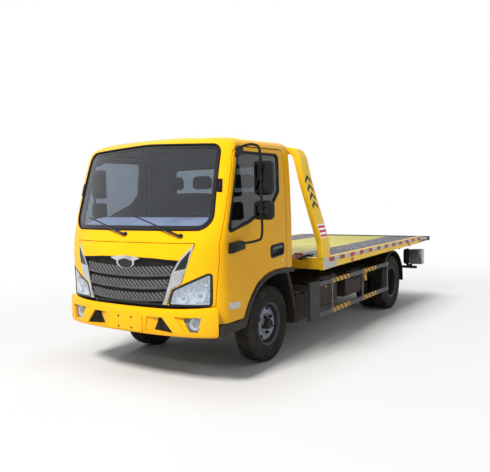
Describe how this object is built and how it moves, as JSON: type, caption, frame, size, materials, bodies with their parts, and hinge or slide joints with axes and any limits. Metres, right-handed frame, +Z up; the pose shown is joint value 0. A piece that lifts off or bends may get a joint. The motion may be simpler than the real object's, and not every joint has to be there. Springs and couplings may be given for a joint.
{
  "type": "flatbed truck",
  "caption": "Yellow tilt and slide flatbed recovery truck with a tilting cab, opening doors, steered wheels, a sliding bed, a gantry and a winch.",
  "frame": {"origin": "on the ground, below the middle of the truck's bounding box", "axes": "+Z up, -Y towards the front bumper, +X towards the driver's side (the vehicle's left)"},
  "size_m": [2.41, 5.995, 2.292],
  "materials": {
    "body_paint": "glossy yellow paint, lightly dusty low down",
    "bed_paint": "satin yellow paint",
    "chassis_paint": "satin black paint",
    "grey_steel": "grey painted and bare steel",
    "black_plastic": "matte black plastic",
    "grille_plastic": "dark grey moulded plastic",
    "wheel_silver": "silver painted pressed steel",
    "tyre_rubber": "black rubber",
    "glass": "lightly tinted",
    "lamp_glass": "clear lamp lens over bright reflectors",
    "tail_lamp_red": "red lamp lens",
    "interior_grey": "grey moulded plastic",
    "seat_fabric": "dark grey cloth",
    "cylinder_chrome": "polished rod",
    "wire_rope": "drum wound with steel rope"
  },
  "bodies": {
    "chassis": {"chassis_frame": "chassis_paint", "front_axle": "chassis_paint", "rear_axle": "chassis_paint", "drive_shaft": "chassis_paint", "engine": "grey_steel", "battery_box": "black_plastic", "hydraulic_tank": "grey_steel", "tool_box": "black_plastic", "fuel_tank": "grey_steel", "exhaust_silencer": "grey_steel", "side_guard_left": "grey_steel", "side_guard_right": "grey_steel", "front_mudguard_left": "black_plastic", "front_mudguard_right": "black_plastic", "rear_mudguard_left": "black_plastic", "rear_mudguard_right": "black_plastic", "rear_beam": "black_plastic", "tail_lamp_left": "tail_lamp_red", "tail_lamp_right": "tail_lamp_red"},
    "cab": {"cab_shell": "body_paint", "windshield": "glass", "rear_window": "glass", "headlamp_left": "lamp_glass", "headlamp_right": "lamp_glass", "front_bumper": "body_paint", "arch_trim_left": "black_plastic", "arch_trim_right": "black_plastic", "dashboard": "interior_grey", "driver_seat": "seat_fabric", "passenger_seat": "seat_fabric"},
    "front_flap": {"front_panel": "body_paint", "grille": "grille_plastic"},
    "steering_wheel_body": {"steering_wheel": "black_plastic"},
    "bed_base": {"bed_subframe": "chassis_paint"},
    "bed": {"deck": "bed_paint", "tail_ramp": "grey_steel", "gantry": "bed_paint", "winch_frame": "chassis_paint"},
    "winch_drum_body": {"winch_drum": "wire_rope"},
    "cylinder_barrels": {"tilt_barrels": "chassis_paint"},
    "cylinder_rods": {"tilt_rods": "cylinder_chrome"},
    "door_body_left": {"door_left": "body_paint", "door_glass_left": "glass", "mirror_left": "black_plastic"},
    "knuckle_body_left": {"knuckle_left": "chassis_paint"},
    "front_wheel_body_left": {"front_wheel_left": "wheel_silver", "front_tyre_left": "tyre_rubber"},
    "rear_wheel_body_left": {"rear_wheels_left": "wheel_silver", "rear_tyre_outer_left": "tyre_rubber", "rear_tyre_inner_left": "tyre_rubber"},
    "door_body_right": {"door_right": "body_paint", "door_glass_right": "glass", "mirror_right": "black_plastic"},
    "knuckle_body_right": {"knuckle_right": "chassis_paint"},
    "front_wheel_body_right": {"front_wheel_right": "wheel_silver", "front_tyre_right": "tyre_rubber"},
    "rear_wheel_body_right": {"rear_wheels_right": "wheel_silver", "rear_tyre_outer_right": "tyre_rubber", "rear_tyre_inner_right": "tyre_rubber"}
  },
  "joints": [
    {"name": "cab_tilt", "type": "hinge", "parent": "chassis", "child": "cab", "pos_m": [0, -2.6975, 0.7], "axis": [1, 0, 0], "range_deg": [0, 45]},
    {"name": "door_left_hinge", "type": "hinge", "parent": "cab", "child": "door_body_left", "pos_m": [0.954, -2.7575, 1], "axis": [0, 0, -1], "range_deg": [0, 65]},
    {"name": "door_right_hinge", "type": "hinge", "parent": "cab", "child": "door_body_right", "pos_m": [-0.954, -2.7575, 1], "axis": [0, 0, 1], "range_deg": [0, 65]},
    {"name": "front_flap_hinge", "type": "hinge", "parent": "cab", "child": "front_flap", "pos_m": [0, -2.9455, 1.293], "axis": [-1, 0, 0], "range_deg": [0, 70]},
    {"name": "steering_wheel_turn", "type": "hinge", "parent": "cab", "child": "steering_wheel_body", "pos_m": [0.42, -2.2625, 1.412], "axis": [0, 0.6606, 0.7507], "range_deg": [-510, 510]},
    {"name": "steer_left", "type": "hinge", "parent": "chassis", "child": "knuckle_body_left", "pos_m": [0.62, -1.7575, 0.388], "axis": [0, 0, 1], "range_deg": [-34, 34]},
    {"name": "steer_right", "type": "hinge", "parent": "chassis", "child": "knuckle_body_right", "pos_m": [-0.62, -1.7575, 0.388], "axis": [0, 0, 1], "range_deg": [-34, 34]},
    {"name": "front_wheel_left_spin", "type": "hinge", "parent": "knuckle_body_left", "child": "front_wheel_body_left", "pos_m": [0.73, -1.7575, 0.388], "axis": [1, 0, 0], "continuous": true},
    {"name": "front_wheel_right_spin", "type": "hinge", "parent": "knuckle_body_right", "child": "front_wheel_body_right", "pos_m": [-0.73, -1.7575, 0.388], "axis": [1, 0, 0], "continuous": true},
    {"name": "rear_wheels_left_spin", "type": "hinge", "parent": "chassis", "child": "rear_wheel_body_left", "pos_m": [0.717, 1.6025, 0.388], "axis": [1, 0, 0], "continuous": true},
    {"name": "rear_wheels_right_spin", "type": "hinge", "parent": "chassis", "child": "rear_wheel_body_right", "pos_m": [-0.717, 1.6025, 0.388], "axis": [1, 0, 0], "continuous": true},
    {"name": "bed_tilt", "type": "hinge", "parent": "chassis", "child": "bed_base", "pos_m": [0, 2.72, 0.8], "axis": [-1, 0, 0], "range_deg": [0, 14]},
    {"name": "bed_slide", "type": "slide", "parent": "bed_base", "child": "bed", "axis": [0, 1, 0], "range_m": [0, 2.9]},
    {"name": "winch_drum_turn", "type": "hinge", "parent": "bed", "child": "winch_drum_body", "pos_m": [0, -0.7475, 1.13], "axis": [1, 0, 0], "continuous": true},
    {"name": "barrels_tilt", "type": "hinge", "parent": "chassis", "child": "cylinder_barrels", "pos_m": [0, 0.9, 0.58], "axis": [-1, 0, 0], "range_deg": [0, 33]},
    {"name": "rods_extend", "type": "slide", "parent": "cylinder_barrels", "child": "cylinder_rods", "axis": [0, -0.9746, 0.2241], "range_m": [0, 0.27]}
  ],
  "couplings": [
    {"joint": "steer_right", "follows": "steer_left", "ratio": 1},
    {"joint": "steering_wheel_turn", "follows": "steer_left", "ratio": 15},
    {"joint": "barrels_tilt", "follows": "bed_tilt", "ratio": 2.285},
    {"joint": "rods_extend", "follows": "bed_tilt", "m_per_rad": 1.084}
  ]
}
